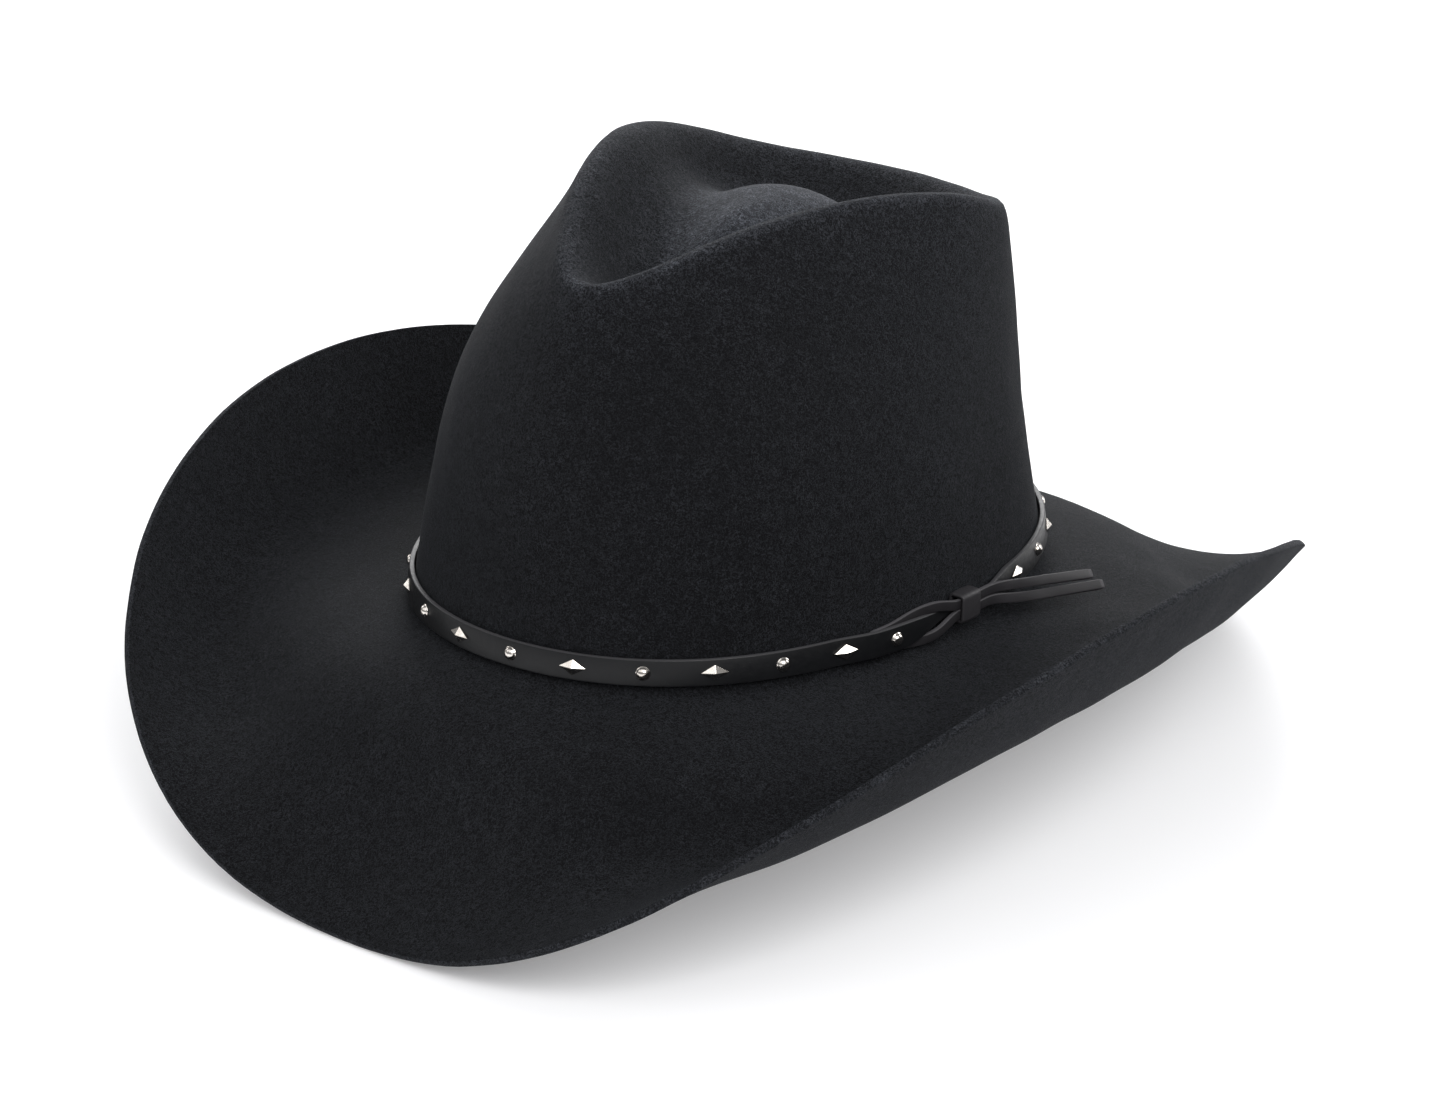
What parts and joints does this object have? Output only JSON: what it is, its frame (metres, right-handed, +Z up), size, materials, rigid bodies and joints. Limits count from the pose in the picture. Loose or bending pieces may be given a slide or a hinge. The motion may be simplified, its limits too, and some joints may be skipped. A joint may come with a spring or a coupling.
{
  "type": "cowboy hat",
  "caption": "Black felt western hat with a pinched teardrop crown, rolled brim, studded leather band tied at the side, sweatband and satin lining.",
  "frame": {"origin": "on the supporting surface, under the middle of the hat's outline, with the hat standing on the front and back dips of its brim", "axes": "+Z up, -Y to the front of the hat, +X to the wearer's left, where the band is tied"},
  "size_m": [0.3208, 0.3556, 0.178],
  "materials": {
    "felt": "soft fur nap, matte, raw cut brim edge",
    "sweat_leather": "smooth satin, dark brown",
    "reed_tape": "woven tape over a reed",
    "bow_ribbon": "grosgrain ribbon",
    "lining_satin": "satin with a soft sheen",
    "lining_piping": "corded piping",
    "band_leather": "smooth satin, cut edges slightly lighter",
    "keeper_leather": "smooth satin",
    "stud_metal": "polished nickel"
  },
  "bodies": {
    "hat": {"felt_body": "felt", "sweatband": "sweat_leather", "sweatband_reed": "reed_tape", "sweatband_bow": "bow_ribbon", "lining_side": "lining_satin", "lining_tip": "lining_satin", "lining_welt": "lining_piping"},
    "band": {"hat_band": "band_leather", "tie_lace_upper": "band_leather", "tie_lace_lower": "band_leather", "round_stud_01": "stud_metal", "round_stud_02": "stud_metal", "round_stud_03": "stud_metal", "round_stud_04": "stud_metal", "round_stud_05": "stud_metal", "round_stud_06": "stud_metal", "round_stud_07": "stud_metal", "round_stud_08": "stud_metal", "round_stud_09": "stud_metal", "round_stud_10": "stud_metal", "round_stud_11": "stud_metal", "round_stud_12": "stud_metal", "round_stud_13": "stud_metal", "round_stud_14": "stud_metal", "diamond_stud_01": "stud_metal", "diamond_stud_02": "stud_metal", "diamond_stud_03": "stud_metal", "diamond_stud_04": "stud_metal", "diamond_stud_05": "stud_metal", "diamond_stud_06": "stud_metal", "diamond_stud_07": "stud_metal", "diamond_stud_08": "stud_metal", "diamond_stud_09": "stud_metal", "diamond_stud_10": "stud_metal", "diamond_stud_11": "stud_metal", "diamond_stud_12": "stud_metal", "diamond_stud_13": "stud_metal", "diamond_stud_14": "stud_metal"},
    "keeper": {"keeper": "keeper_leather"}
  },
  "joints": [
    {"name": "band_lift", "type": "slide", "parent": "hat", "child": "band", "axis": [0, 0.0515, 0.9987], "range_m": [0, 0.13]},
    {"name": "keeper_slide", "type": "slide", "parent": "band", "child": "keeper", "axis": [0, 0.9987, -0.0515], "range_m": [0, 0.005]}
  ]
}
